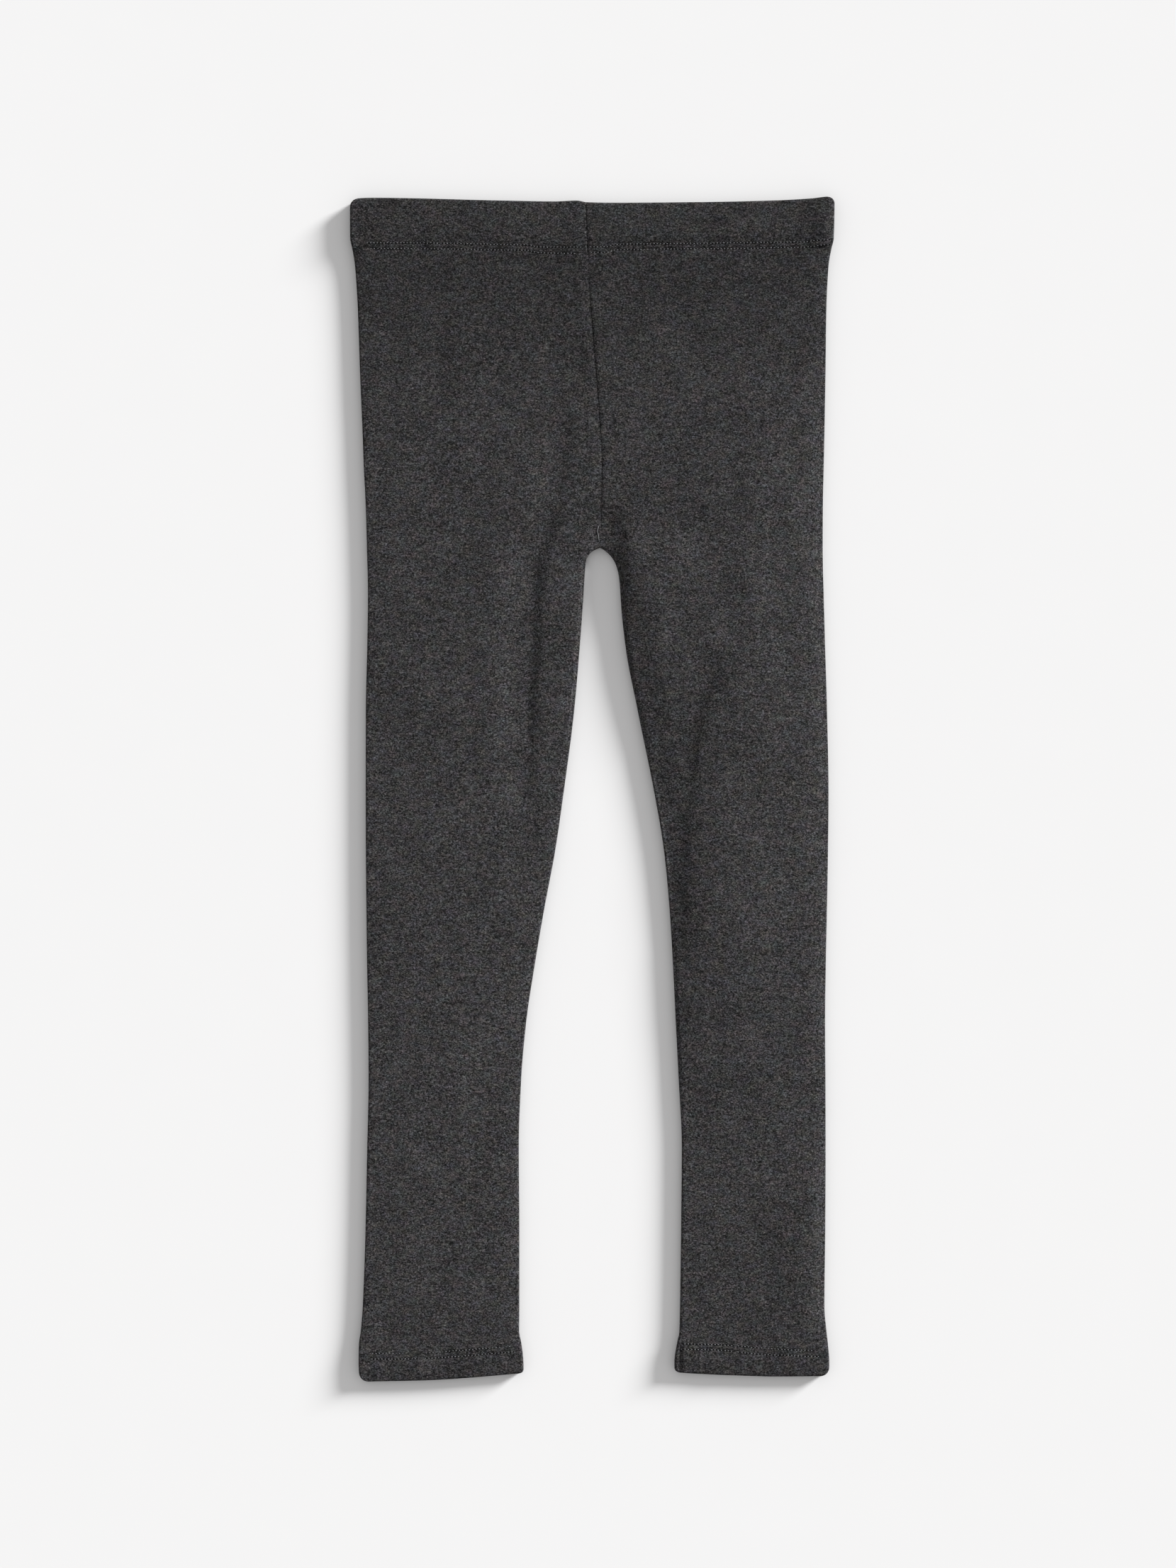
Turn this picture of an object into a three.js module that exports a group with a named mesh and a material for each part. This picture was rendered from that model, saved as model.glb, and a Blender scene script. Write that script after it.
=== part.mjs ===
// A child's cotton jersey leggings, laid flat on a table with the waist at +Y and the hems at -Y.
// Millimetres, +Z up. The origin is on the table, under the middle of the garment's own box.
// Each leg is one cut panel that wraps round the side with no side seam. The two panels meet at the
// centre seams, front and back, and each closes on itself along its inseam, below the crotch.
// The waist is turned down over elastic, and each hem is turned up. Left and right are as seen here.
import * as THREE from "three";
import { mergeVertices } from "three/addons/utils/BufferGeometryUtils.js";

// Driving sizes. "down" is always the distance below the garment's highest point.
const garmentLength = 689; // highest corner of the waist to the lowest hem
const rise = 204; // waist to the crotch point
const clothWall = 1.3; // one layer of jersey
const hemWall = 2 * clothWall;
const casingWall = 3.2; // two layers with the elastic between them
const hemDepth = 16; // hem fold to just over the upper row of stitching
const seamGap = 0.3; // between two pieces that are sewn together
const layerGap = 0.6; // between the front and back layers where they lie closest

// How the layers lie on each other.
const foldHeight = 4.6; // the folded side of a leg, which is not pressed flat
const hemHeight = 2 * hemWall + layerGap; // a hem, and the casing at its stitching
const legCrown = 1.5; // how much higher the middle of a leg lies than its folded sides
const crownReach = 8; // how far in from a folded side the cloth climbs to its crown
const crownStart = 12; // how far from the casing or a hem the crown grows
const endRise = 7; // how far the thickness of the casing or a hem lifts the leg beside it
const creaseStart = 4; // how far from the casing or a hem a crease can start
const thighLift = { height: 0.9, from: 205, to: 460, reach: 12 }; // inner side of the right leg
const easing = 60; // length over which straight sections turn to follow the waist or a hem

// Where the centre seam shows on the top layer.
const seamGroove = { depth: 0.5, reach: 0.8 };
const seamAllowance = { height: 0.5, width: 7 };

// Corner radii, seen from above.
const waistCorner = { left: 5, right: 4 };
const hemCorner = { outer: 5, inner: 2.4 };

// Charcoal marl jersey.
const jersey = { color: "#3b3a3b", roughness: 0.95, metalness: 0 };

// A table whose rows are written under named columns.
const table = (columns, rows) =>
  rows.map((row) => Object.fromEntries(columns.map((name, i) => [name, row[i]])));

// Sections from the waist to the crotch: x of both folded sides and of the centre seam.
const hips = table(["down", "left", "seam", "right"], [
  [0, -141.0, -4.1, 140.9],
  [24, -140.9, -3.1, 140.4],
  [30, -139.7, -2.8, 139.1],
  [40, -138.1, -2.3, 137.4],
  [67, -136.4, -0.3, 136.1],
  [105, -135.1, 2.8, 135.6],
  [133, -133.9, 4.9, 135.1],
  [157, -133.0, 6.1, 134.6],
  [182, -131.8, 5.6, 134.1],
  [rise, -131.2, 4.5, 134.0],
]);

// Sections below the crotch: x of each leg's folded sides.
const legs = table(["down", "leftOuter", "leftInner", "rightInner", "rightOuter"], [
  [232, -130.6, -5.2, 16.5, 134.6],
  [261, -131.0, -7.3, 19.2, 135.4],
  [298, -131.8, -10.5, 26.2, 136.5],
  [347, -131.9, -16.8, 36.1, 137.4],
  [380, -131.8, -21.6, 41.6, 137.1],
  [413, -131.5, -27.8, 44.8, 136.5],
  [447, -131.1, -33.6, 46.9, 135.8],
  [480, -130.5, -38.5, 48.5, 135.4],
  [513, -130.2, -41.4, 50.2, 135.6],
  [552, -131.0, -42.8, 52.0, 135.7],
  [600, -132.0, -42.5, 51.6, 135.5],
  [645, -133.6, -42.5, 51.0, 135.0],
  [660, -134.8, -42.6, 50.6, 136.2],
  [667, -135.8, -41.3, 49.2, 137.0],
  [678, -136.0, -40.1, 47.7, 137.8],
  [689, -135.4, -39.9, 48.1, 137.5],
]);

// Inner sides of the legs at the crotch, before the curve that draws them in to the centre seam.
const crotch = { left: { inner: -3.6, fade: 2.7 }, right: { inner: 16.0, fade: 6.5 } };

// The waist: how far down its top fold and the lower edge of the casing lie at each x.
const waist = table(["x", "fold", "foot"], [
  [-141, 1.2, 30.2],
  [-128, 0.7, 30.2],
  [-52, 2.3, 31.0],
  [-22, 2.8, 32.4],
  [-9, 2.3, 32.9],
  [-3, 3.3, 32.7],
  [14, 3.6, 30.8],
  [62, 3.2, 30.3],
  [104, 2.3, 29.8],
  [128, 1.0, 29.0],
  [137, 0, 28.1],
  [141, 0.3, 27.8],
]);

// The hems: how far down each fold lies at each x.
const leftHem = table(["x", "fold"], [[-135, 689], [-99, 688.3], [-81, 687.4], [-42, 684.2]]);
const rightHem = table(["x", "fold"], [[49, 683.5], [57, 684.2], [85, 685.4], [105, 686], [137, 685.8]]);

// Soft folds that the top layer lies in, each along points [x, down]. A trough is negative.
const creases = table(["name", "height", "reach", "route"], [
  ["left thigh trough", -1.3, 5, [[-15, 150], [-21, 190], [-32, 235], [-34, 298], [-32, 362]]],
  ["left crotch ridge", 0.9, 6, [[-2, 165], [-12, 203], [-17, 240]]],
  ["right crotch trough", -1.0, 6, [[9, 188], [17, 200], [25, 225], [30, 250]]],
  ["right knee trough", -1.3, 6, [[76, 268], [63, 306], [57, 347], [50, 388]]],
  ["right hip ridge", 0.8, 13, [[96, 110], [89, 175], [87, 245]]],
  ["left shin ridge", 0.5, 7, [[-76, 420], [-77, 520], [-75, 610]]],
  ["waist tuck", -0.7, 4, [[-50, 38], [-28, 39], [-8, 38]]],
]);

// Sections of a leg: how many from the one before down to each distance.
const legSpacing = table(["to", "count"], [
  [58, 5],
  [184, 8],
  [rise, 3],
  [rise + 8, 6],
  [rise + 41, 4],
  [400, 8],
  [632, 8],
  [garmentLength - hemDepth - seamGap, 3],
]);
const legColumns = { close: [6, 12, 18, 25, 32], even: 9 }; // steps in from the inner side, then the rest

// Sections of a turned end, from its fold. Past the last, "thin" no longer draws its faces together.
const turning = table(["toFold", "thin"], [[0, 1], [0.35, 0.3], [1.2, 0]]);

const pick = (rows, key, value) => rows.map((row) => ({ at: row[key], value: row[value] }));

// A smooth curve through a list of { at, value }, flat beyond its ends and with no overshoot.
function read(rows, at) {
  const last = rows.length - 1;
  if (at <= rows[0].at) return rows[0].value;
  if (at >= rows[last].at) return rows[last].value;
  const i = rows.findIndex((row) => row.at > at) - 1;
  const slope = (k) => (rows[k + 1].value - rows[k].value) / (rows[k + 1].at - rows[k].at);
  const tangent = (k) => {
    if (k === 0) return slope(0);
    if (k === last) return slope(last - 1);
    const [before, after] = [slope(k - 1), slope(k)];
    return before * after <= 0 ? 0 : (2 * before * after) / (before + after);
  };
  const span = rows[i + 1].at - rows[i].at;
  const t = (at - rows[i].at) / span;
  const [t2, t3] = [t * t, t * t * t];
  return (
    rows[i].value * (2 * t3 - 3 * t2 + 1) +
    span * tangent(i) * (t3 - 2 * t2 + t) +
    rows[i + 1].value * (3 * t2 - 2 * t3) +
    span * tangent(i + 1) * (t3 - t2)
  );
}

const centreSeam = pick(hips, "down", "seam");
const waistFold = pick(waist, "x", "fold");
const casingFoot = pick(waist, "x", "foot");

const leftLeg = {
  side: -1,
  outer: [...pick(hips, "down", "left"), ...pick(legs, "down", "leftOuter")],
  inner: [{ at: rise, value: crotch.left.inner }, ...pick(legs, "down", "leftInner")],
  crotchFade: crotch.left.fade,
  hemFold: pick(leftHem, "x", "fold"),
  hasAllowance: true, // the seam allowance is pressed towards this leg
  lift: 0,
};
const rightLeg = {
  side: 1,
  outer: [...pick(hips, "down", "right"), ...pick(legs, "down", "rightOuter")],
  inner: [{ at: rise, value: crotch.right.inner }, ...pick(legs, "down", "rightInner")],
  crotchFade: crotch.right.fade,
  hemFold: pick(rightHem, "x", "fold"),
  hasAllowance: false,
  lift: thighLift.height,
};

// The inner side of a leg: the centre seam, and below the crotch the curve away from it.
function innerSide(leg, down) {
  const seam = read(centreSeam, down) + (leg.side * seamGap) / 2;
  if (down <= rise) return seam;
  const drawnIn = seam - read(leg.inner, rise);
  return read(leg.inner, down) + drawnIn * Math.exp((rise - down) / leg.crotchFade);
}

// How far a rounded corner draws a side in, at a distance from the end of the garment.
function cornerInset(fromEnd, radius) {
  const h = Math.max(radius - fromEnd, 0);
  return radius - Math.sqrt(radius * radius - h * h);
}

// Height that the creases add at a point. Each fades out towards both ends of its route.
function creaseHeight(x, down) {
  const fadeShare = 0.3;
  let sum = 0;
  for (const { height, reach, route } of creases) {
    let nearest = Infinity;
    let along = 0;
    for (let i = 0; i + 1 < route.length; i++) {
      const [ax, ad] = route[i];
      const [bx, bd] = route[i + 1];
      const lengthSquared = (bx - ax) ** 2 + (bd - ad) ** 2;
      const reached = ((x - ax) * (bx - ax) + (down - ad) * (bd - ad)) / lengthSquared;
      const t = THREE.MathUtils.clamp(reached, 0, 1);
      const away = Math.hypot(x - ax - t * (bx - ax), down - ad - t * (bd - ad));
      if (away < nearest) {
        nearest = away;
        along = (i + t) / (route.length - 1);
      }
    }
    const fade = THREE.MathUtils.smoothstep(Math.min(along, 1 - along), -0.05, fadeShare);
    sum += height * fade * Math.exp(-((nearest / reach) ** 2));
  }
  return sum;
}

// Even steps from one value to another, ends included.
const spread = (from, to, steps) =>
  Array.from({ length: steps + 1 }, (_, i) => from + ((to - from) * i) / steps);

const place = (x, down, z) => new THREE.Vector3(x, garmentLength / 2 - down, z);

// One section of a flattened tube, as pairs of points on its outer and inner face. It runs from the
// inner side over the top layer to the outer side, and back under. A folded side is a half circle.
// An open section has two cut edges at its inner side instead, one in each layer.
function flattened({ inner, outer, innerFold, outerFold, wall, top, down, closed, columns }) {
  const way = Math.sign(outer - inner);
  const quarter = [0, Math.PI / 4, Math.PI / 2];
  const cutSteps = [0, 1.0, 2.6];
  const pairs = [];
  const add = (x, z, boreX, boreZ) =>
    pairs.push({ outer: place(x, down(x), z), inner: place(boreX, down(x), boreZ) });
  const arc = (edgeX, facing, radius, angle) => {
    const centre = edgeX - facing * radius;
    const [across, up] = [facing * Math.cos(angle), Math.sin(angle)];
    const bore = radius - wall;
    add(centre + radius * across, radius + radius * up, centre + bore * across, radius + bore * up);
  };
  const onTop = (x) => add(x, top(x), x, top(x) - wall);
  const beneath = (x) => add(x, 0, x, wall);
  const outerStart = outer - (way * outerFold) / 2;
  const innerStart = inner + way * (closed ? innerFold / 2 : cutSteps.at(-1));

  if (closed) quarter.forEach((angle) => arc(inner, -way, innerFold / 2, angle));
  else cutSteps.forEach((step) => onTop(inner + way * step));
  columns(innerStart, outerStart).forEach(onTop);
  quarter.toReversed().forEach((angle) => arc(outer, way, outerFold / 2, angle));
  quarter.slice(1).forEach((angle) => arc(outer, way, outerFold / 2, -angle));
  spread(outerStart, innerStart, 3).slice(1, -1).forEach(beneath);
  if (closed) quarter.toReversed().forEach((angle) => arc(inner, -way, innerFold / 2, -angle));
  else cutSteps.toReversed().forEach((step) => beneath(inner + way * step));
  return { pairs, closed };
}

// One closed wall from its sections: both faces, a rim at each end, and one along each cut edge.
function wallMesh(name, sections, mirrored) {
  const points = [];
  const quad = (a, b, c, d) => {
    const [second, fourth] = mirrored ? [d, b] : [b, d];
    points.push(a, second, c, a, c, fourth);
  };
  const last = sections[0].pairs.length - 1;
  sections.slice(1).forEach((section, i) => {
    const [here, next] = [sections[i].pairs, section.pairs];
    for (let j = 0; j < last; j++) {
      quad(here[j].outer, next[j].outer, next[j + 1].outer, here[j + 1].outer);
      quad(here[j].inner, here[j + 1].inner, next[j + 1].inner, next[j].inner);
    }
    if (sections[i].closed && section.closed) return;
    quad(here[0].outer, here[0].inner, next[0].inner, next[0].outer);
    quad(here[last].outer, next[last].outer, next[last].inner, here[last].inner);
  });
  const [start, end] = [sections[0].pairs, sections.at(-1).pairs];
  for (let j = 0; j < last; j++) {
    quad(start[j].outer, start[j + 1].outer, start[j + 1].inner, start[j].inner);
    quad(end[j].outer, end[j].inner, end[j + 1].inner, end[j + 1].outer);
  }
  const geometry = mergeVertices(new THREE.BufferGeometry().setFromPoints(points), 1e-3);
  const index = [];
  for (let i = 0; i < geometry.index.count; i += 3) {
    const [a, b, c] = [0, 1, 2].map((k) => geometry.index.getX(i + k));
    if (a !== b && b !== c && a !== c) index.push(a, b, c);
  }
  geometry.setIndex(index);
  geometry.computeVertexNormals();
  const mesh = new THREE.Mesh(geometry, new THREE.MeshStandardMaterial(jersey));
  mesh.name = name;
  return mesh;
}

// How near a point of a leg is to the casing or to its hem, along the leg.
function fromEnds(leg, x, down) {
  const toCasing = down - read(casingFoot, x);
  const toHem = read(leg.hemFold, x) - hemDepth - down;
  return Math.max(Math.min(toCasing, toHem), 0);
}

// Thickness of a leg at its folded sides, which changes to meet the casing above and the hem below.
function legFold(leg, x, down) {
  const { from, to, reach } = thighLift;
  const along = THREE.MathUtils.clamp((down - from) / (to - from), 0, 1);
  const fromInner = Math.abs(x - innerSide(leg, Math.max(down, rise + 1)));
  const lift = leg.lift * Math.sin(Math.PI * along) * Math.exp(-fromInner / reach);
  return foldHeight + lift + (hemHeight - foldHeight) * Math.exp(-fromEnds(leg, x, down) / endRise);
}

// Height of the top layer of a leg: its folded sides, crown, creases and centre seam.
function legTop(leg, x, down) {
  const away = fromEnds(leg, x, down);
  const fold = legFold(leg, x, down);
  const climb = (side) => 1 - Math.exp(-Math.max(Math.abs(x - side) - fold / 2, 0) / crownReach);
  const outerClimb = climb(read(leg.outer, down));
  const belowCrotch = THREE.MathUtils.smoothstep(down, rise - 25, rise + 4);
  const innerClimb = climb(innerSide(leg, Math.max(down, rise + 1)));
  const grown = 1 - Math.exp(-away / crownStart);
  const crown = legCrown * grown * outerClimb * THREE.MathUtils.lerp(1, innerClimb, belowCrotch);
  const crease = (1 - Math.exp(-away / creaseStart)) * outerClimb * creaseHeight(x, down);
  const fromSeam = Math.abs(x - read(centreSeam, down));
  const raised = Math.exp(-((fromSeam / seamAllowance.width) ** 4));
  const allowance = leg.hasAllowance ? seamAllowance.height * raised : 0;
  const groove = seamGroove.depth * Math.exp(-fromSeam / seamGroove.reach);
  return fold + crown + crease + (allowance - groove) * (1 - belowCrotch);
}

function legMesh(name, leg) {
  const first = read(casingFoot, 0) + seamGap;
  const rows = [first];
  for (const { to, count } of legSpacing) rows.push(...spread(rows.at(-1), to, count).slice(1));
  const nearWaist = (row) => 1 - THREE.MathUtils.smoothstep(row, first, first + easing);
  const nearHem = (row) => THREE.MathUtils.smoothstep(row, rows.at(-1) - easing, rows.at(-1));
  const sections = rows.map((row) => {
    const down = (x) =>
      row +
      (read(casingFoot, x) - read(casingFoot, 0)) * nearWaist(row) +
      (read(leg.hemFold, x) - garmentLength) * nearHem(row);
    const outer = read(leg.outer, down(read(leg.outer, row)));
    const inner = innerSide(leg, down(innerSide(leg, row)));
    return flattened({
      inner,
      outer,
      down,
      innerFold: legFold(leg, inner, down(inner)),
      outerFold: legFold(leg, outer, down(outer)),
      wall: clothWall,
      closed: row > rise,
      top: (x) => legTop(leg, x, down(x)),
      columns: (from, to) => {
        const way = Math.sign(to - from);
        const close = legColumns.close.map((step) => from + way * step);
        return [...close, ...spread(close.at(-1), to, legColumns.even).slice(1, -1)];
      },
    });
  });
  return wallMesh(name, sections, leg.side < 0);
}

// Draws the two faces of a wall together where it turns over: thin 0 leaves them, and 1 joins them.
function pinch(section, thin) {
  for (const { outer, inner } of section.pairs) {
    const middle = outer.clone().lerp(inner, 0.5);
    outer.lerp(middle, thin);
    inner.lerp(middle, thin);
  }
  return section;
}

// A hem lies the same height all over, from the stitching down to its fold.
function hemMesh(name, leg) {
  const plain = [hemDepth, 13.8, 9, 5, 2.8].map((toFold) => ({ toFold, thin: 0 }));
  const rows = [...plain, ...turning.toReversed()];
  const sections = rows.map(({ toFold, thin }) => {
    const down = (x) => read(leg.hemFold, x) - toFold;
    const outer = read(leg.outer, down(leg.outer.at(-1).value));
    const inner = read(leg.inner, down(leg.inner.at(-1).value));
    const section = flattened({
      inner: inner + leg.side * cornerInset(toFold, hemCorner.inner),
      outer: outer - leg.side * cornerInset(toFold, hemCorner.outer),
      down,
      innerFold: hemHeight,
      outerFold: hemHeight,
      wall: hemWall,
      closed: true,
      top: () => hemHeight,
      columns: (from, to) => spread(from, to, 10).slice(1, -1),
    });
    return pinch(section, thin);
  });
  return wallMesh(name, sections, leg.side < 0);
}

// The casing is thick over the elastic and thinner at its stitching. "share" is from fold to foot.
const casingRows = table(["share", "wall"], [
  [0.1, casingWall - 0.1],
  [0.18, casingWall],
  [0.5, casingWall],
  [0.77, casingWall - 0.1],
  [0.86, hemWall + 0.2],
  [1, hemWall],
]);

function waistbandMesh(name) {
  const turned = turning.map(({ toFold, thin }) => ({ toFold, thin, share: 0, wall: casingWall - 0.3 }));
  const rows = [...turned, ...casingRows.map((row) => ({ toFold: 0, thin: 0, ...row }))];
  const seamColumns = { left: 16, right: 14, close: [-9, -5, -2, 0, 2, 5], even: 8 };
  const sections = rows.map(({ toFold, thin, share, wall }) => {
    const height = 2 * wall + layerGap;
    const depth = (x) => toFold + share * (read(casingFoot, x) - read(waistFold, x));
    const down = (x) => read(waistFold, x) + depth(x);
    const leftX = read(leftLeg.outer, down(hips[0].left));
    const rightX = read(rightLeg.outer, down(hips[0].right));
    const seamX = read(centreSeam, down(0));
    const section = flattened({
      inner: leftX + cornerInset(depth(leftX), waistCorner.left),
      outer: rightX - cornerInset(depth(rightX), waistCorner.right),
      down,
      innerFold: height,
      outerFold: height,
      wall,
      closed: true,
      top: (x) => {
        const groove = 0.3 * Math.exp(-(((x - seamX) / 1.5) ** 2));
        const allowance = 0.3 * Math.exp(-(((x - seamX + 5) / 4) ** 2));
        return height - groove + allowance;
      },
      columns: (from, to) => [
        ...spread(from, seamX - seamColumns.left, seamColumns.even).slice(1),
        ...seamColumns.close.map((step) => seamX + step),
        ...spread(seamX + seamColumns.right, to, seamColumns.even).slice(0, -1),
      ],
    });
    return pinch(section, thin);
  });
  return wallMesh(name, sections, false);
}

const leggings = new THREE.Group();
leggings.add(
  waistbandMesh("waistband"),
  legMesh("leg_left", leftLeg),
  legMesh("leg_right", rightLeg),
  hemMesh("hem_left", leftLeg),
  hemMesh("hem_right", rightLeg),
);

export default leggings;
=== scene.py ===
# Child's jersey leggings laid flat on a pale board and seen from straight above, the waist at the top.
# Garment sizes are in millimetres and turned to metres when a mesh is made.
# "down" is always the distance below the highest point of the waist. Left and right are as seen.
import math
import bmesh
import bpy
import numpy as np
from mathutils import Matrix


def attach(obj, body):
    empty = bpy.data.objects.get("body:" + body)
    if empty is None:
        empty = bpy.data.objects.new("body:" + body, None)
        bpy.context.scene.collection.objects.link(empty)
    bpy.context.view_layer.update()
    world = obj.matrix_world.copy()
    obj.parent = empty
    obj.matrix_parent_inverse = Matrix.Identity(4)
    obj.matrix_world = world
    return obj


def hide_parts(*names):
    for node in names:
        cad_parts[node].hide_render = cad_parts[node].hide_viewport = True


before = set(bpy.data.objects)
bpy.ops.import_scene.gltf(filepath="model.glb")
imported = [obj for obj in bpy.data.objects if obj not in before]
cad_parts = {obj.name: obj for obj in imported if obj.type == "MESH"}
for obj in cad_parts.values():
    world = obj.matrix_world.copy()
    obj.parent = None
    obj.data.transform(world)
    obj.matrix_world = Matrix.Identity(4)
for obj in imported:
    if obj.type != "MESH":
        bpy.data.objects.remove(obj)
scene = bpy.context.scene
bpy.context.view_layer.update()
rng = np.random.default_rng(7)

# The cloth's own sizes. A folded side is "foldHeight" high, "foldPress" times as wide as a half circle, and
# more square with a higher "foldSquareness".
garment = {
    "length": 689.0,
    "rise": 204.0,
    "clothWall": 1.3,
    "hemWall": 2.6,
    "hemDepth": 16.0,
    "layerGap": 0.6,
    "joinGap": 0.06,
    "foldHeight": 4.9,
    "hemHeight": 5.8,
    "foldPress": 0.5,
    "foldSquareness": 3.2,
}
foldShape = (garment["foldPress"], garment["foldSquareness"])

# Waist to crotch: down, x of the left side, of the centre seam and of the right side
hips = [
    (0, -141.0, -4.1, 140.9),
    (24, -140.9, -3.1, 140.4),
    (30, -139.7, -2.8, 139.1),
    (40, -138.1, -2.3, 137.4),
    (67, -136.4, -0.3, 136.1),
    (105, -135.1, 2.8, 135.6),
    (133, -133.9, 4.9, 135.1),
    (157, -133.0, 6.1, 134.6),
    (182, -131.8, 5.6, 134.1),
    (204, -131.2, 4.5, 134.0),
]

# Crotch to hems: down, then x of each leg's folded sides
legs = [
    (232, -130.6, -5.2, 16.5, 134.6),
    (261, -131.0, -7.3, 19.2, 135.4),
    (298, -131.8, -10.5, 26.2, 136.5),
    (347, -131.9, -16.8, 36.1, 137.4),
    (380, -131.8, -21.6, 41.6, 137.1),
    (413, -131.5, -27.8, 44.8, 136.5),
    (447, -131.1, -33.6, 46.9, 135.8),
    (480, -130.5, -38.5, 48.5, 135.4),
    (513, -130.2, -41.4, 50.2, 135.6),
    (552, -131.0, -42.8, 52.0, 135.7),
    (600, -132.0, -42.5, 51.6, 135.5),
    (645, -133.6, -42.5, 51.0, 135.0),
    (660, -134.8, -42.6, 50.6, 136.2),
    (667, -135.8, -41.3, 49.2, 137.0),
    (678, -136.0, -40.1, 47.7, 137.8),
    (689, -135.4, -39.9, 48.1, 137.5),
]

# The waist: x, then how far down its fold and the foot of the casing lie
waist = [
    (-141, 1.2, 30.2),
    (-128, 0.7, 30.2),
    (-52, 2.3, 31.0),
    (-22, 2.8, 32.4),
    (-9, 2.3, 32.9),
    (-3, 3.3, 32.7),
    (14, 3.6, 30.8),
    (62, 3.2, 30.3),
    (104, 2.3, 29.8),
    (128, 1.0, 29.0),
    (137, 0, 28.1),
    (141, 0.3, 27.8),
]


# A smooth curve through points (at, value), flat beyond its ends and with no overshoot
def curve(points, at):
    places = np.array([p[0] for p in points], float)
    values = np.array([p[1] for p in points], float)
    slopes = np.diff(values) / np.diff(places)
    tangents = np.zeros(len(places))
    tangents[0] = slopes[0]
    tangents[-1] = slopes[-1]
    before, after = slopes[:-1], slopes[1:]
    agree = before * after > 0
    total = np.where(agree, before + after, 1.0)
    tangents[1:-1] = np.where(agree, 2 * before * after / total, 0.0)
    at = np.clip(at, places[0], places[-1])
    i = np.clip(np.searchsorted(places, at, side="right") - 1, 0, len(places) - 2)
    span = places[i + 1] - places[i]
    t = (at - places[i]) / span
    start = values[i] * (2 * t**3 - 3 * t**2 + 1) + span * tangents[i] * (t**3 - 2 * t**2 + t)
    end = values[i + 1] * (3 * t**2 - 2 * t**3) + span * tangents[i + 1] * (t**3 - t**2)
    return start + end


def column(rows, i):
    return [(row[0], row[i]) for row in rows]


def smoothStep(value, low, high):
    t = np.clip((value - low) / (high - low), 0, 1)
    return t * t * (3 - 2 * t)


def bell(away):
    return np.exp(-(away**2))


# A wave along x with an uneven beat: its length, how far it swings and how slowly
def unevenWave(x, wave, swing, swingWave):
    return np.sin(x / wave + swing * np.sin(x / swingWave))


centreSeam = column(hips, 2)
waistFold = column(waist, 1)
casingFoot = column(waist, 2)

# Each leg: its sides, how fast the crotch curve leaves the seam, its hem, how much the inner side lifts,
# how high the layers fill out ("crown"), and how far in from each side that takes
leftLeg = {
    "side": -1,
    "outer": column(hips, 1) + column(legs, 1),
    "inner": [(garment["rise"], -3.6)] + column(legs, 2),
    "crotchFade": 2.7,
    "hemRows": ["leftHemUpper", "leftHemLower"],
    "hemFold": [(-135, 689), (-99, 688.3), (-81, 687.4), (-42, 684.2)],
    "lift": 0.0,
    "crown": 0.9,
    "outerReach": 22.0,
    "innerReach": [(200, 5.0), (689, 5.0)],
}
rightLeg = {
    "side": 1,
    "outer": column(hips, 3) + column(legs, 4),
    "inner": [(garment["rise"], 16.0)] + column(legs, 3),
    "crotchFade": 6.5,
    "hemRows": ["rightHemUpper", "rightHemLower"],
    "hemFold": [(49, 683.5), (57, 684.2), (85, 685.4), (105, 686), (137, 685.8)],
    "lift": 0.5,
    "crown": 1.5,
    "outerReach": 5.0,
    "innerReach": [
        (200, 40.0), (240, 30.0), (275, 9.0), (330, 9.0), (400, 12.0), (470, 22.0), (560, 60.0), (689, 60.0),
    ],
}


# Inner side of a leg: the centre seam, and below the crotch the curve away from it
def innerSide(leg, down):
    seam = curve(centreSeam, down) + leg["side"] * garment["joinGap"] / 2
    drawnIn = seam - leg["inner"][0][1]
    below = curve(leg["inner"], down) + drawnIn * np.exp((garment["rise"] - down) / leg["crotchFade"])
    return np.where(down <= garment["rise"], seam, below)


# The coverstitch rows, each along (x, down)
stitchRows = {
    "waistUpper": [
        (-132.2, 26.1), (-97, 26.2), (-56, 27.0), (-37.5, 27.3), (-31.5, 28.5), (-8.3, 28.6), (-2, 28.4),
        (8, 28.3), (14.5, 27.0), (68, 26.3), (122, 25.6), (135.5, 24.4), (139, 24.2),
    ],
    "waistLower": [
        (-133.8, 29.3), (-97, 29.5), (-56, 30.2), (-37.5, 30.5), (-31.5, 31.8), (-8.3, 32.2), (-2, 31.7),
        (8, 31.6), (14.5, 30.1), (68, 29.5), (122, 28.7), (135.5, 27.4), (139, 27.2),
    ],
    "leftHemUpper": [(-129, 673.3), (-110, 673.3), (-97, 673.0), (-81, 671.9), (-60, 670.2), (-46, 669.1)],
    "leftHemLower": [(-129.5, 676.6), (-110, 676.5), (-97, 676.2), (-81, 675.2), (-60, 673.5), (-45, 672.3)],
    "rightHemUpper": [(51, 667.7), (66, 668.0), (81, 668.7), (97, 670.1), (112, 671.0), (129, 671.7)],
    "rightHemLower": [
        (51, 670.8), (66, 671.1), (81, 672.0), (97, 673.7), (112, 674.4), (129, 675.0), (133, 675.0),
    ],
}
waistRows = ["waistUpper", "waistLower"]

# The rows are read off the photograph, where what lies high on the cloth shows a little further out
rowHeight = 6.3
viewMiddle = {"x": -2.55, "down": 341.5, "height": 2157.0}
nearer = 1 - rowHeight / viewMiddle["height"]


def fromPicture(x, down):
    return (viewMiddle["x"] + (x - viewMiddle["x"]) * nearer,
            viewMiddle["down"] + (down - viewMiddle["down"]) * nearer)


for name, row in stitchRows.items():
    stitchRows[name] = [fromPicture(x, down) for x, down in row]

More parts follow.
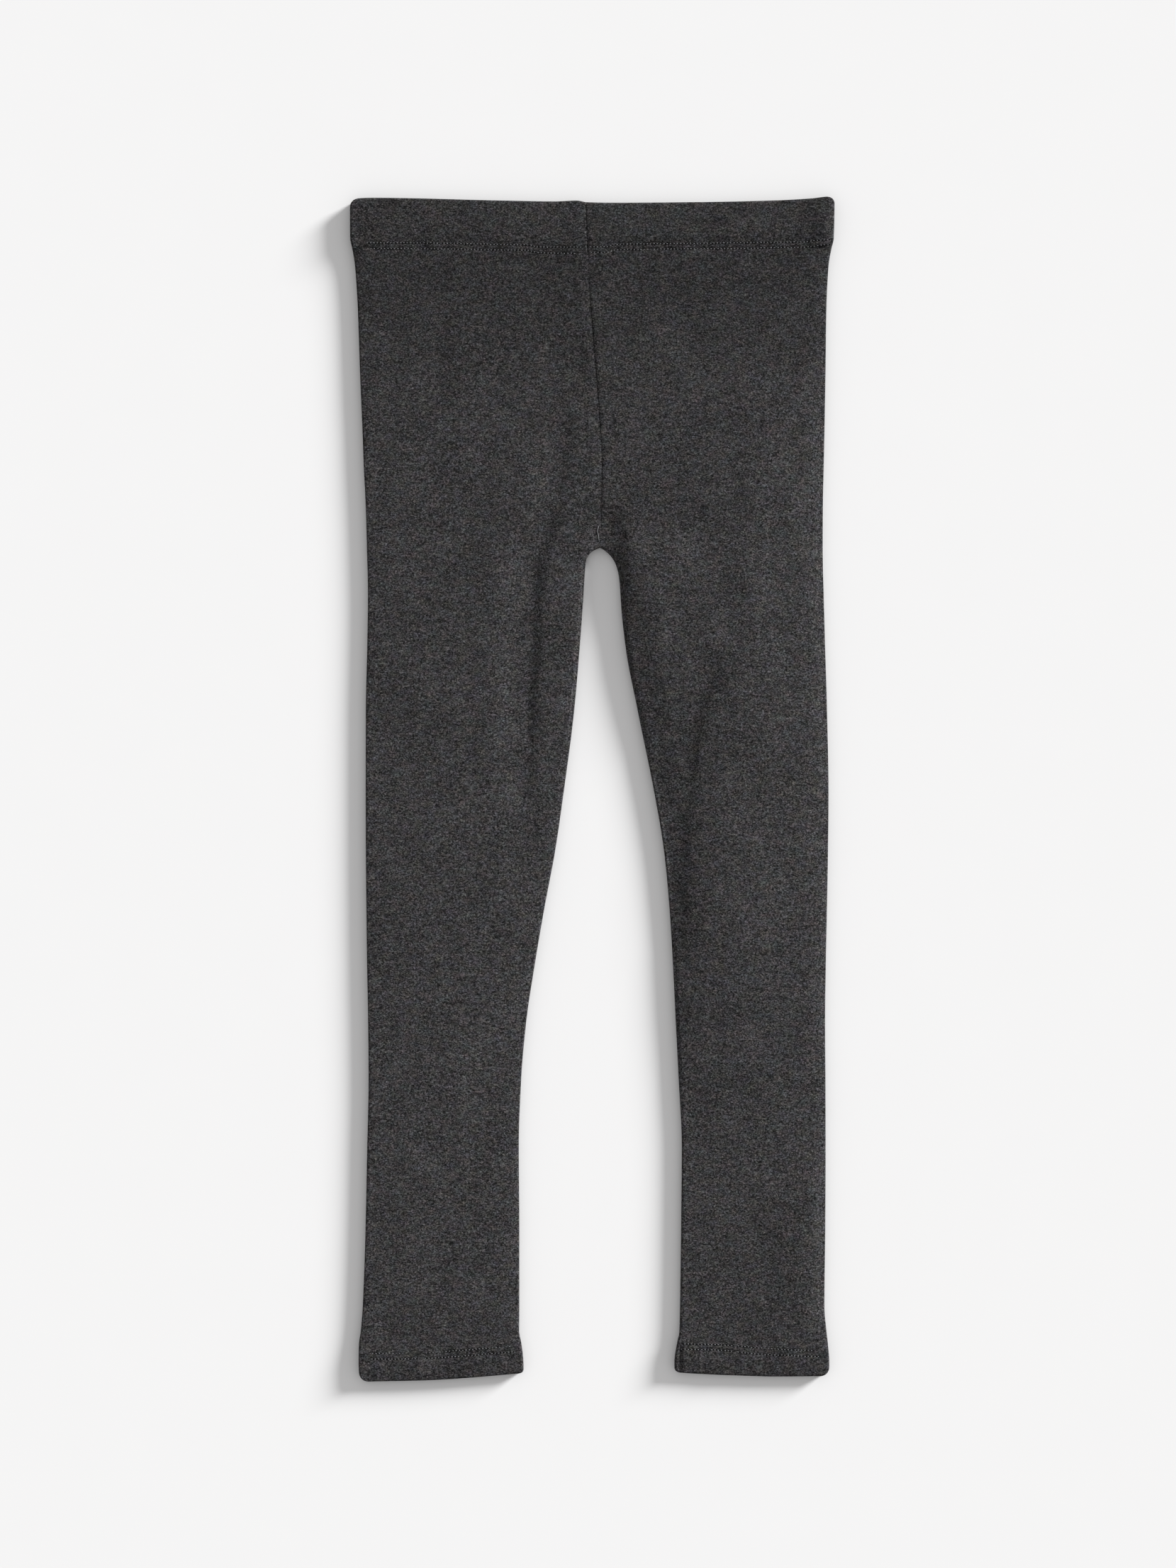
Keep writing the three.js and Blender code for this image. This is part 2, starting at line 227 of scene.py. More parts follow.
# How the cloth lies: soft folds, each along (down, x, strength), or (x, down, strength) where "isAcross".
# "reach" is how far it spreads before that line and after it, and a lower "power" makes it sharper.
creases = [
    {"height": -1.7, "reach": (16, 4.5), "route": [
        (122, -15, 0), (137, -17, 0.4), (161, -19, 0.6), (179, -23, 0.6), (200, -28, 0.9), (215, -33, 1.1),
        (240, -35, 1), (268, -36, 1), (322, -38.5, 0.7), (362, -37, 0.4), (400, -38, 0)]},
    {"height": 0.7, "reach": (11, 7), "route": [
        (130, -33, 0), (160, -36, 0.8), (200, -48, 1), (250, -56, 1), (300, -58, 0.9), (360, -56, 0.5),
        (420, -56, 0)]},
    {"height": -1.8, "reach": (14, 8), "route": [
        (178, 7, 0), (190, 10, 0.9), (198, 12, 1), (204, 14, 0.6), (210, 16, 0.2), (218, 18, 0)]},
    {"height": 1.5, "reach": (24, 9), "route": [
        (550, 131, 0), (595, 131, 1), (650, 131, 1), (673, 131, 0)]},
    {"height": 1.5, "reach": (11, 40), "route": [
        (225, 34, 0), (250, 38, 0.5), (285, 44, 1), (340, 54, 1), (390, 60, 0.9), (450, 62, 0.5),
        (540, 62, 0)]},
    {"height": -1.5, "reach": (20, 5), "route": [
        (262, 71, 0), (277, 69, 0.8), (295, 62, 1), (322, 56.5, 1), (362, 52.5, 0.9), (390, 50, 0.6),
        (440, 50, 0)]},
    {"height": 1.9, "reach": (27, 46), "route": [
        (235, 88, 0), (280, 87, 0.6), (320, 83, 0.9), (370, 80, 1), (430, 78, 0.8), (500, 80, 0.4),
        (580, 82, 0)]},
    {"height": 4.0, "reach": (80, 38), "power": 1.2, "route": [
        (95, 93, 0), (140, 92, 0.7), (180, 90, 0.95), (235, 89, 1), (280, 86, 0.7), (340, 84, 0)]},
    {"height": 0.5, "reach": (8, 4), "route": [
        (450, -79, 0), (490, -77, 0.8), (540, -76, 1), (590, -75, 0.8), (640, -76, 0)]},
    {"height": -0.4, "reach": (9, 4), "route": [
        (40, -88, 0), (55, -89, 1), (80, -88, 0.9), (110, -87, 0.8), (150, -85, 0)]},
    {"isAcross": True, "height": -0.5, "reach": (3, 5), "route": [
        (-62, 38, 0), (-48, 38, 0.9), (-28, 39, 1), (-10, 38, 0.7), (4, 37, 0)]},
    {"isAcross": True, "height": -0.35, "reach": (3, 6), "route": [
        (-138, 34, 0.8), (-118, 35, 1), (-98, 36, 0.6), (-80, 36, 0)]},
]

# The crotch stands up where four layers of seam meet: its centre, height and how far it reaches each way.
# The right leg's side is rounder there than where it lies pressed flat. Below "notchFrom" the cloth drops
# steeply to the leg's inner side, within "notchWidth" of it.
crotchMound = {
    "x": 23.0,
    "down": 210.0,
    "height": 4.4,
    "before": 9.0,
    "after": 32.0,
    "above": 12.5,
    "below": 30.0,
    "notchFrom": 206.0,
    "notchWall": 2.4,
    "notchStart": 0.15,
    "notchWidth": [(206, 8.5), (213, 7.5), (220, 5), (230, 3.5), (260, 3)],
    "edgePress": 1.0,
    "edgeSquareness": 1.7,
}

# Slow unevenness all over: amplitude, its two wavelengths across and down, and a shift
ripples = [
    (0.09, 61.0, 143.0, 0.4),
    (0.05, -37.0, 88.0, 2.1),
    (0.035, 27.0, -64.0, 4.4),
    (0.015, 15.5, 47.0, 1.3),
]

# What a row of stitches does to the cloth: the groove it pulls, how far that runs on past the row's ends,
# its share on the underside, and the low puckers beside it, which lie a little below the upper row
stitchGroove = {
    "depth": 0.14,
    "reach": 0.7,
    "runOut": 3.0,
    "under": 0.9,
    "pucker": 0.07,
    "puckerShift": 1.6,
    "puckerReach": 7.0,
    "puckerWave": (2.9, 1.2, 17),
    "puckerBeat": (11, 0.6),
}


def creaseHeight(x, down):
    total = np.zeros(np.shape(x))
    for crease in creases:
        along, across = (x, down) if crease.get("isAcross") else (down, x)
        line = [(p[0], p[1]) for p in crease["route"]]
        strength = curve([(p[0], p[2]) for p in crease["route"]], along)
        tilt = (curve(line, along + 1) - curve(line, along - 1)) / 2
        away = (across - curve(line, along)) / np.hypot(1, tilt)
        before, after = crease["reach"]
        reach = np.where(away < 0, before, after)
        profile = np.exp(-(np.abs(away / reach) ** crease.get("power", 2)))
        total = total + crease["height"] * strength * profile
    return total


# The inner side below the crotch, also for points a little above it
def besideCrotch(side, down):
    return innerSide(side, np.maximum(down, garment["rise"] + 1))


def moundHeight(x, down):
    mound = crotchMound
    across = x - mound["x"]
    across = across / np.where(across < 0, mound["before"], mound["after"])
    fromInner = (x - besideCrotch(rightLeg, down)) / curve(mound["notchWidth"], down)
    low = smoothStep(down, mound["notchFrom"], mound["notchFrom"] + mound["notchWall"])
    low = low * (1 - smoothStep(fromInner, mound["notchStart"], 1))
    return mound["height"] * moundShare(down) * bell(across) * (1 - low)


def moundShare(down):
    along = down - crotchMound["down"]
    along = along / np.where(along < 0, crotchMound["above"], crotchMound["below"])
    return bell(along)


# How a leg's inner side is pressed and squared at a distance down: half its width to its height, and the
# power of its curve
def innerRound(side, down):
    share = float(moundShare(down)) ** 2 if side["side"] > 0 else 0.0
    press, squareness = foldShape
    press += (crotchMound["edgePress"] - press) * share
    squareness += (crotchMound["edgeSquareness"] - squareness) * share
    return press, squareness


def rippleHeight(x, down):
    total = np.zeros(np.shape(x))
    for amplitude, acrossWave, downWave, shift in ripples:
        total = total + amplitude * np.sin(2 * math.pi * (x / acrossWave + down / downWave) + shift)
    return total


# Groove that the named rows of stitches press into the cloth
def grooveDepth(names, x, down):
    deepest = np.zeros(np.shape(x))
    runOut = stitchGroove["runOut"]
    for name in names:
        row = stitchRows[name]
        start, end = row[0][0], row[-1][0]
        inRow = smoothStep(x, start - runOut, start) * (1 - smoothStep(x, end, end + runOut))
        away = (down - curve(row, x)) / stitchGroove["reach"]
        deepest = np.maximum(deepest, stitchGroove["depth"] * inRow * bell(away))
    return deepest


def underGroove(names, x, down):
    return grooveDepth(names, x, down) * stitchGroove["under"]


# Small uneven puckers between the stitches, which come and go along the row
def puckerHeight(names, x, down):
    away = down - curve(stitchRows[names[0]], x) - stitchGroove["puckerShift"]
    near = bell(away / stitchGroove["puckerReach"])
    beat, shift = stitchGroove["puckerBeat"]
    waves = unevenWave(x, *stitchGroove["puckerWave"]) * (0.5 + 0.5 * np.sin(x / beat + shift))
    return stitchGroove["pucker"] * near * waves


# How a leg lies. Beside the casing and the hem the cloth is lifted ("endRise") and the crown and the creases
# fade out. The crown also closes in at the inner side, from "crotchAbove" to "crotchBelow" the crotch. The
# mesh's rows turn to follow the casing and the hem within "easing".
leg = {
    "crownStart": 12.0,
    "creaseStart": 4.0,
    "endRise": 7.0,
    "liftFrom": 205.0,
    "liftTo": 460.0,
    "liftReach": 12.0,
    "crotchAbove": 25.0,
    "crotchBelow": 4.0,
    "easing": 60.0,
    "grooveDepth": 0.28,
    "grooveReach": 0.9,
    "grooveShift": 0.2,
    "allowanceHeight": 0.3,
    "allowanceWidth": 8.5,
    "closeColumns": (0.7, 1.5, 2.5, 3.8, 5.2),
    "columns": 62,
    "underColumns": 16,
    "sideSteps": 6,
}


def fromEnds(side, x, down):
    toCasing = down - curve(casingFoot, x)
    toHem = curve(side["hemFold"], x) - garment["hemDepth"] - down
    return np.maximum(np.minimum(toCasing, toHem), 0)


def legFold(side, x, down):
    along = np.clip((down - leg["liftFrom"]) / (leg["liftTo"] - leg["liftFrom"]), 0, 1)
    fromInner = np.abs(x - besideCrotch(side, down))
    lift = side["lift"] * np.sin(math.pi * along) * np.exp(-fromInner / leg["liftReach"])
    ends = np.exp(-fromEnds(side, x, down) / leg["endRise"])
    mound = moundHeight(x, down)
    return garment["foldHeight"] + lift + mound + (garment["hemHeight"] - garment["foldHeight"]) * ends


# The centre seam: its allowance lies to the left, under the left leg, and the seam sinks between the two
def seamRelief(x, down):
    fromSeam = x - curve(centreSeam, down)
    rise = np.exp(-(((fromSeam + leg["allowanceWidth"] / 2) / (leg["allowanceWidth"] / 2)) ** 4))
    groove = bell((fromSeam + leg["grooveShift"]) / leg["grooveReach"]) * (fromSeam > 0)
    return leg["allowanceHeight"] * rise - leg["grooveDepth"] * groove


# Climbs from 0 to 1 beyond a folded side "width" wide
def climb(x, side, width, reach):
    return 1 - np.exp(-np.maximum(np.abs(x - side) - width, 0) / reach)


def legTop(side, x, down):
    away = fromEnds(side, x, down)
    fold = legFold(side, x, down)
    outerClimb = climb(x, curve(side["outer"], down), fold / 2 * garment["foldPress"], side["outerReach"])
    innerWidth = fold / 2 * innerRound(side, float(np.mean(down)))[0]
    innerClimb = climb(x, besideCrotch(side, down), innerWidth, curve(side["innerReach"], down))
    rise = garment["rise"]
    belowCrotch = smoothStep(down, rise - leg["crotchAbove"], rise + leg["crotchBelow"])
    crown = side["crown"] * (1 - np.exp(-away / leg["crownStart"])) * outerClimb
    crown = crown * (1 + (innerClimb - 1) * belowCrotch)
    free = (1 - np.exp(-away / leg["creaseStart"])) * outerClimb
    folds = free * (creaseHeight(x, down) + rippleHeight(x, down))
    seam = seamRelief(x, down) * (1 - belowCrotch)
    stitched = grooveDepth(waistRows, x, down) + grooveDepth(side["hemRows"], x, down)
    puckers = puckerHeight(waistRows, x, down) + puckerHeight(side["hemRows"], x, down)
    return fold + crown + folds + seam - stitched + puckers * outerClimb


# Points of one section of a flattened tube, from its inner side over the top to its outer side and back
# under, as x and z of its outer face and of its bore. A folded side is a pressed half circle. An open
# section has two cut edges at its inner side instead, with closer columns within "cutReach" of them.
cutReach = 2.6
cutEase = 1.6
leastBore = 0.02


def section(inner, outer, innerFold, outerFold, wall, top, bottom, columns, isClosed, arcSteps, underCount,
            innerShape=foldShape):
    way = 1 if outer > inner else -1
    angles = np.linspace(0, math.pi / 2, arcSteps + 1)
    cutSteps = np.linspace(0, 1, arcSteps + 1) ** cutEase * cutReach

    def arc(edge, facing, radius, turn, shape):
        press, squareness = shape
        centre = edge - facing * radius * press
        square = 2 / squareness
        across = facing * np.abs(np.cos(turn)) ** square * press
        up = np.sign(turn) * np.abs(np.sin(turn)) ** square
        bore = max(radius - wall, leastBore)
        return centre + radius * across, radius + radius * up, centre + bore * across, radius + bore * up

    def flat(x, upper):
        if upper:
            z = top(x)
            return x, z, x, z - wall
        z = bottom(x)
        return x, z, x, z + wall

    innerStart = inner + way * (innerFold / 2 * innerShape[0] if isClosed else cutSteps[-1])
    outerStart = outer - way * outerFold / 2 * foldShape[0]
    parts = []
    if isClosed:
        parts.append(arc(inner, -way, innerFold / 2, angles, innerShape))
    else:
        parts.append(flat(inner + way * cutSteps, True))
    parts.append(flat(columns(innerStart, outerStart), True))
    parts.append(arc(outer, way, outerFold / 2, angles[::-1], foldShape))
    parts.append(arc(outer, way, outerFold / 2, -angles[1:], foldShape))
    parts.append(flat(np.linspace(outerStart, innerStart, underCount)[1:-1], False))
    if isClosed:
        parts.append(arc(inner, -way, innerFold / 2, -angles[::-1], innerShape))
    else:
        parts.append(flat(inner + way * cutSteps[::-1], False))
    return [np.concatenate([part[i] for part in parts]) for i in range(4)]


def placeInScene(name, data):
    placed = bpy.data.objects.new(name, data)
    scene.collection.objects.link(placed)
    return placed


# A piece of cloth from its sections, each a line, its distance down and whether it is closed. The mesh has
# both faces of the wall, a rim at each end and one along each cut edge.
sharpAngle = 60.0


def shellPiece(name, sections, mirrored):
    rows = len(sections)
    last = len(sections[0][1]) - 1
    outerPoints = []
    innerPoints = []
    for (x, z, boreX, boreZ), down, _ in sections:
        y = garment["length"] / 2 - down
        outerPoints.append(np.stack([x, y, z], 1))
        innerPoints.append(np.stack([boreX, y, boreZ], 1))
    points = np.concatenate(outerPoints + innerPoints) * 0.001
    isClosed = [closed for _, _, closed in sections]

    def at(face, r, c):
        c = 0 if isClosed[r] and c == last else c
        return (face * rows + r) * (last + 1) + c

    faces = []

    def quad(a, b, c, d):
        corners = [a, d, c, b] if mirrored else [a, b, c, d]
        if len(set(corners)) == 4:
            faces.append(corners)

    for r in range(rows - 1):
        for c in range(last):
            quad(at(0, r, c), at(0, r + 1, c), at(0, r + 1, c + 1), at(0, r, c + 1))
            quad(at(1, r, c), at(1, r, c + 1), at(1, r + 1, c + 1), at(1, r + 1, c))
        if not (isClosed[r] and isClosed[r + 1]):
            quad(at(0, r, 0), at(1, r, 0), at(1, r + 1, 0), at(0, r + 1, 0))
            quad(at(0, r, last), at(0, r + 1, last), at(1, r + 1, last), at(1, r, last))
    for c in range(last):
        quad(at(0, 0, c), at(0, 0, c + 1), at(1, 0, c + 1), at(1, 0, c))
        quad(at(0, rows - 1, c), at(1, rows - 1, c), at(1, rows - 1, c + 1), at(0, rows - 1, c + 1))
    mesh = bpy.data.meshes.new(name)
    mesh.from_pydata(points.tolist(), [], faces)
    mesh.validate()
    mesh.polygons.foreach_set("use_smooth", [True] * len(mesh.polygons))
    mesh.set_sharp_from_angle(angle=math.radians(sharpAngle))
    bm = bmesh.new()
    bm.from_mesh(mesh)
    bmesh.ops.delete(bm, geom=[v for v in bm.verts if not v.link_faces], context="VERTS")
    bm.to_mesh(mesh)
    bm.free()
    mesh.materials.append(jerseyMaterial)
    return placeInScene(name, mesh)


# sRGB hex to the linear colour that a shader takes
def linear(hexColour):
    channels = [int(hexColour[i : i + 2], 16) / 255 for i in (1, 3, 5)]
    return tuple(c / 12.92 if c <= 0.04045 else ((c + 0.055) / 1.055) ** 2.4 for c in channels) + (1.0,)


# Adds a node with its settings and its links to other nodes' outputs
def addNode(tree, kind, settings=None, links=None):
    node = tree.nodes.new(kind)
    for name, value in (settings or {}).items():
        if isinstance(name, int) or name in node.inputs:
            node.inputs[name].default_value = value
        else:
            setattr(node, name, value)
    for name, source in (links or {}).items():
        tree.links.new(source, node.inputs[name])
    return node


# A new material, its empty tree and the place on the piece that every pattern is drawn from
def newMaterial(name):
    material = bpy.data.materials.new(name)
    material.use_nodes = True
    tree = material.node_tree
    tree.nodes.clear()
    return material, tree, addNode(tree, "ShaderNodeTexCoord").outputs["Object"]


# Charcoal marl cotton jersey: dark and mid grey fibres spun together and knitted, so the eye sees a
# speckled, matt, slightly streaky surface with a faint nap. A fibre is 0.02 mm and a knit loop 0.5 mm,
# too fine to show, so the marl is drawn as cells of 0.55 mm and a grain of 0.9 mm. "weights" is what each
# layer adds to the tone, and "contrast" gathers the light fibres into fewer, brighter points.
jersey = {
    "tone": 0.845,
    "contrast": 2.7,
    "dark": "#060606",
    "light": "#c2bfc2",
    "fleck": "#c4c2c2",
    "fleckShare": 0.4,
    "fleckFrom": 0.66,
    "fleckTo": 0.8,
    "cool": "#9cbcd6",
    "warm": "#d6bc9c",
    "green": "#aacbaa",
    "plum": "#cbaacb",
    "weights": {"fibre": 0.36, "grain": 0.72, "yarn": 0.16, "streak": 0.16, "mottle": 0.14},
    "bumpMm": 0.2,
    "bumpStrength": 0.4,
}

# Each layer of the marl: its size in millimetres, how much longer it is across the garment, its turn in
# radians, its detail and roughness, and how far it is shifted to differ from a layer of the same kind. The
# fibres are cells with a tone each, and the rest is noise.
marlLayers = {
    "fibre": (0.55, 1.25, 0.2, 0.0, 0.5, 0.0),
    "grain": (0.9, 1.2, 0.15, 1.0, 0.6, 0.0),
    "yarn": (2.6, 2.2, -0.08, 2.0, 0.6, 0.0),
    "streak": (1.4, 5.0, 0.04, 1.0, 0.5, 0.0),
    "mottle": (18.0, 1.0, 0.0, 3.0, 0.55, 0.0),
    "tint": (5.0, 1.3, 0.2, 2.0, 0.6, 0.0),
    "tintAcross": (5.0, 1.3, 0.2, 2.0, 0.6, 40.0),
    "fleck": (1.1, 1.5, 0.3, 1.0, 0.5, 9.0),
}

# Painted shade along the garment, darkest at the waist's top fold, below the casing and at the hems:
# distance along the garment, then tone
paintedShadeAlong = [
    (0.0, 0.45), (0.004, 0.68), (0.009, 0.75), (0.016, 0.8), (0.035, 0.83), (0.05, 0.69), (0.07, 0.7),
    (0.1, 0.76), (0.16, 0.87), (0.22, 0.94), (0.5, 0.99), (0.85, 1.01), (0.93, 0.96), (0.965, 0.9),
    (1.0, 0.82),
]


def cottonJerseyMarl():
    material, tree, place = newMaterial("cotton jersey marl")
    layers = {}
    for name, (size, stretch, turn, detail, roughness, shift) in marlLayers.items():
        mapped = addNode(
            tree, "ShaderNodeMapping",
            {"Scale": (1000 / stretch, 1000, 1000), "Rotation": (0, 0, turn), "Location": (shift, shift, 0)},
            {"Vector": place})
        if name == "fibre":
            cells = addNode(tree, "ShaderNodeTexVoronoi", {"Scale": 1 / size}, {"Vector": mapped.outputs[0]})
            layer = addNode(tree, "ShaderNodeSeparateColor", {}, {"Color": cells.outputs["Color"]})
        else:
            layer = addNode(tree, "ShaderNodeTexNoise",
                            {"Scale": 1 / size, "Detail": detail, "Roughness": roughness},
                            {"Vector": mapped.outputs[0]})
        layers[name] = layer.outputs[0]

    start = addNode(tree, "ShaderNodeValue")
    start.outputs[0].default_value = 0.5 - 0.5 * sum(jersey["weights"].values())
    total = start.outputs[0]
    for name, weight in jersey["weights"].items():
        added = addNode(tree, "ShaderNodeMath", {"operation": "MULTIPLY_ADD", 1: weight},
                        {0: layers[name], 2: total})
        total = added.outputs[0]
    level = addNode(tree, "ShaderNodeClamp", {}, {"Value": total})
    share = addNode(tree, "ShaderNodeMath", {"operation": "POWER", 1: jersey["contrast"]},
                    {0: level.outputs[0]})
    blends = {}
    for low, high, factor in (("dark", "light", share.outputs[0]), ("cool", "warm", layers["tint"]),
                              ("green", "plum", layers["tintAcross"])):
        blend = addNode(tree, "ShaderNodeMix",
                        {"data_type": "RGBA", 6: linear(jersey[low]), 7: linear(jersey[high])}, {0: factor})
        blends[low] = blend.outputs[2]
    fleckShare = addNode(
        tree, "ShaderNodeMapRange",
        {"From Min": jersey["fleckFrom"], "From Max": jersey["fleckTo"], "To Max": jersey["fleckShare"]},
        {"Value": layers["fleck"]})
    flecked = addNode(tree, "ShaderNodeMix", {"data_type": "RGBA", 7: linear(jersey["fleck"])},
                      {0: fleckShare.outputs[0], 6: blends["dark"]})
    tone = addNode(tree, "ShaderNodeMix", {"data_type": "RGBA", 0: 0.5},
                   {6: blends["cool"], 7: blends["green"]})
    colour = addNode(tree, "ShaderNodeMix", {"data_type": "RGBA", "blend_type": "MULTIPLY", 0: 1.0},
                     {6: flecked.outputs[2], 7: tone.outputs[2]})

    apart = addNode(tree, "ShaderNodeSeparateXYZ", {}, {"Vector": place})
    # Painted shade: the cloth's colour is darkened along the garment, at the waist's top fold, below the
    # casing and at the hems
    along = addNode(tree, "ShaderNodeMapRange",
                    {"From Min": garment["length"] * 0.0005, "From Max": garment["length"] * -0.0005},
                    {"Value": apart.outputs["Y"]})
    shadeRamp = addNode(tree, "ShaderNodeValToRGB", {}, {"Fac": along.outputs[0]})
    ramp = shadeRamp.color_ramp
    while len(ramp.elements) < len(paintedShadeAlong):
        ramp.elements.new(0.5)
    for element, (at, shadeLevel) in zip(ramp.elements, paintedShadeAlong):
        grey = shadeLevel * jersey["tone"]
        element.position = at
        element.color = (grey, grey, grey, 1)
    shadedColour = addNode(tree, "ShaderNodeMix", {"data_type": "RGBA", "blend_type": "MULTIPLY", 0: 1.0},
                     {6: colour.outputs[2], 7: shadeRamp.outputs[0]})
    bump = addNode(tree, "ShaderNodeBump",
                   {"Strength": jersey["bumpStrength"], "Distance": jersey["bumpMm"] * 0.001},
                   {"Height": layers["grain"]})
    surface = addNode(tree, "ShaderNodeBsdfPrincipled",
                      {"Roughness": 0.95, "Specular IOR Level": 0.12, "Sheen Weight": 0.06,
                       "Sheen Roughness": 0.5, "Sheen Tint": linear("#c8c8ca")},
                      {"Base Color": shadedColour.outputs[2], "Normal": bump.outputs[0]})
    addNode(tree, "ShaderNodeOutputMaterial", {}, {"Surface": surface.outputs[0]})
    return material


# Polyester sewing thread: mid grey, spun, with a slight gloss and fine twist. "profile" is a stitch's
# thickness along it, and "rise" and "bend" are how it stands and how its ends dip, in its own radii.
thread = {
    "colour": "#838486",
    "dark": "#626366",
    "twistMm": 1.4,
    "pitch": 1.94,
    "stitch": 0.92,
    "stitchSpread": (0.8, 1.12),
    "radius": 0.18,
    "radiusSpread": (0.75, 1.2),
    "jitter": 0.07,
    "profile": ((-1, 0.45), (-0.62, 0.92), (0, 1.0), (0.62, 0.92), (1, 0.45)),
    "rise": 0.7,
    "bend": 0.45,
    "sides": 6,
    "holeLong": 0.66,
    "holeWide": 0.46,
    "holeSpread": (0.85, 1.15),
    # The needle holes' near-black colours are painted shade for the pit after each stitch
    "holeShadeDark": "#0c0c0c",
    "holeShadeLight": "#1e1d1e",
    "holeRim": 0.05,
    "holeFibre": 0.13,
    "holeDepth": 0.3,
    "holeSides": 8,
}


def polyesterThread():
    material, tree, place = newMaterial("polyester sewing thread")
    twist = addNode(tree, "ShaderNodeTexNoise", {"Scale": 1000 / thread["twistMm"], "Detail": 2.0},
                    {"Vector": place})
    colour = addNode(tree, "ShaderNodeMix",
                     {"data_type": "RGBA", 6: linear(thread["dark"]), 7: linear(thread["colour"])},
                     {0: twist.outputs[0]})
    bump = addNode(tree, "ShaderNodeBump", {"Strength": 0.3, "Distance": 0.0001},
                   {"Height": twist.outputs[0]})
    surface = addNode(tree, "ShaderNodeBsdfPrincipled", {"Roughness": 0.55, "Specular IOR Level": 0.4},
                      {"Base Color": colour.outputs[2], "Normal": bump.outputs[0]})
    addNode(tree, "ShaderNodeOutputMaterial", {}, {"Surface": surface.outputs[0]})
    return material


# Needle holes: a near-black colour, painted shade for the pit after a stitch, with a little broken fibre in
# it
def needleHoleShade():
    material, tree, place = newMaterial("needle hole painted shade")
    fibre = addNode(tree, "ShaderNodeTexNoise", {"Scale": 1500}, {"Vector": place})
    colour = addNode(tree, "ShaderNodeMix",
                     {"data_type": "RGBA", 6: linear(thread["holeShadeDark"]), 7: linear(thread["holeShadeLight"])},
                     {0: fibre.outputs[0]})
    surface = addNode(tree, "ShaderNodeBsdfPrincipled", {"Roughness": 1.0, "Specular IOR Level": 0.0},
                      {"Base Color": colour.outputs[2]})
    addNode(tree, "ShaderNodeOutputMaterial", {}, {"Surface": surface.outputs[0]})
    return material


jerseyMaterial = cottonJerseyMarl()
threadMaterial = polyesterThread()
holeShadeMaterial = needleHoleShade()
print("materials made")


# Rows of a leg's mesh in spans (from, to, step), closer beside the casing, the crotch and the hem
def legRows():
    first = float(curve(casingFoot, 0)) + garment["joinGap"]
    last = garment["length"] - garment["hemDepth"] - garment["joinGap"]
    rise = garment["rise"]
    spans = [(first, 40, 0.7), (40, rise - 8, 2.2), (rise - 8, rise, 1.0), (rise, rise + 24, 0.7)]
    spans += [(rise + 24, last - 6, 2.2), (last - 6, last, 0.6)]
    rows = [first]
    for low, high, step in spans:
        count = max(1, round((high - low) / step))
        rows.extend(np.linspace(low, high, count + 1)[1:])
    return rows


def legPiece(name, side):
    rows = legRows()
    first, last = rows[0], rows[-1]
    footAtCentre = float(curve(casingFoot, 0))
    sections = []
    for row in rows:
        nearWaist = 1 - smoothStep(row, first, first + leg["easing"])
        nearHem = smoothStep(row, last - leg["easing"], last)
        isClosed = row > garment["rise"]

        def downAt(x):
            waistShift = (curve(casingFoot, x) - footAtCentre) * nearWaist
            hemShift = (curve(side["hemFold"], x) - garment["length"]) * nearHem
            return row + waistShift + hemShift

        def foldAt(x):
            return float(legFold(side, x, downAt(x)))

        def columnsBetween(start, end):
            way = 1 if end > start else -1
            close = start + way * np.array(leg["closeColumns"])
            even = np.linspace(close[-1], end, leg["columns"])
            return np.concatenate([close[:-1], even[:-1]])

        outer = curve(side["outer"], downAt(curve(side["outer"], row)))
        inner = float(innerSide(side, downAt(float(innerSide(side, row)))))
        innerShape = innerRound(side, row)
        innerFold = foldAt(inner + side["side"] * foldAt(inner) / 2 * innerShape[0])
        line = section(
            inner, outer, innerFold, foldAt(outer), garment["clothWall"],
            lambda at: legTop(side, at, downAt(at)),
            lambda at: np.zeros(np.shape(at)),
            columnsBetween, isClosed, leg["sideSteps"], leg["underColumns"], innerShape,
        )
        sections.append((line, downAt(line[0]), isClosed))
    return shellPiece(name, sections, side["side"] < 0)


# How far a rounded corner draws a side in, at a distance from the end of the garment
def cornerInset(fromEnd, radius):
    h = np.maximum(radius - fromEnd, 0)
    return radius - np.sqrt(radius * radius - h * h)


# Turns a wall over at its fold: the two faces run together in a half circle, until "thinnest" is left
thinnest = 0.03


def turnedOver(line, toFold, radius):
    if toFold >= radius:
        return line
    thin = 1 - math.sqrt(max(radius**2 - (radius - toFold) ** 2, 0)) / radius
    thin = min(thin, 1 - thinnest)
    x, z, boreX, boreZ = line
    middle = [(x + boreX) / 2, (z + boreZ) / 2] * 2
    return [at + (to - at) * thin for at, to in zip(line, middle)]


# Distances from a fold to the rest of a piece, closer together where the cloth turns over
turnSteps = 6


def foldSteps(radius, depth, step):
    turning = [radius * (1 - math.cos(math.pi / 2 * k / turnSteps)) for k in range(turnSteps + 1)]
    count = max(1, round((depth - radius) / step))
    return turning + list(np.linspace(radius, depth, count + 1)[1:])


# The hems: their corners, the thinner edge at the fold and the slow unevenness. The right one has a wrinkle
# near its inner side and swells a little at the fold.
hem = {
    "outerCorner": 5.0,
    "innerCorner": 2.4,
    "foldRadius": 1.3,
    "rowStep": 0.6,
    "edgeDrop": 0.35,
    "edgeReach": 4.0,
    "soft": 0.14,
    "softWave": (6.1, 1.4, 15),
    "softFrom": (1, 6),
    "wrinkle": {"depth": 0.9, "x": 50.8, "width": 1.1, "lean": 0.03, "from": (1, 4)},
    "swell": {"height": 0.35, "x": 77, "reach": 7},
    "columns": 90,
    "underColumns": 60,
    "sideSteps": 8,
}


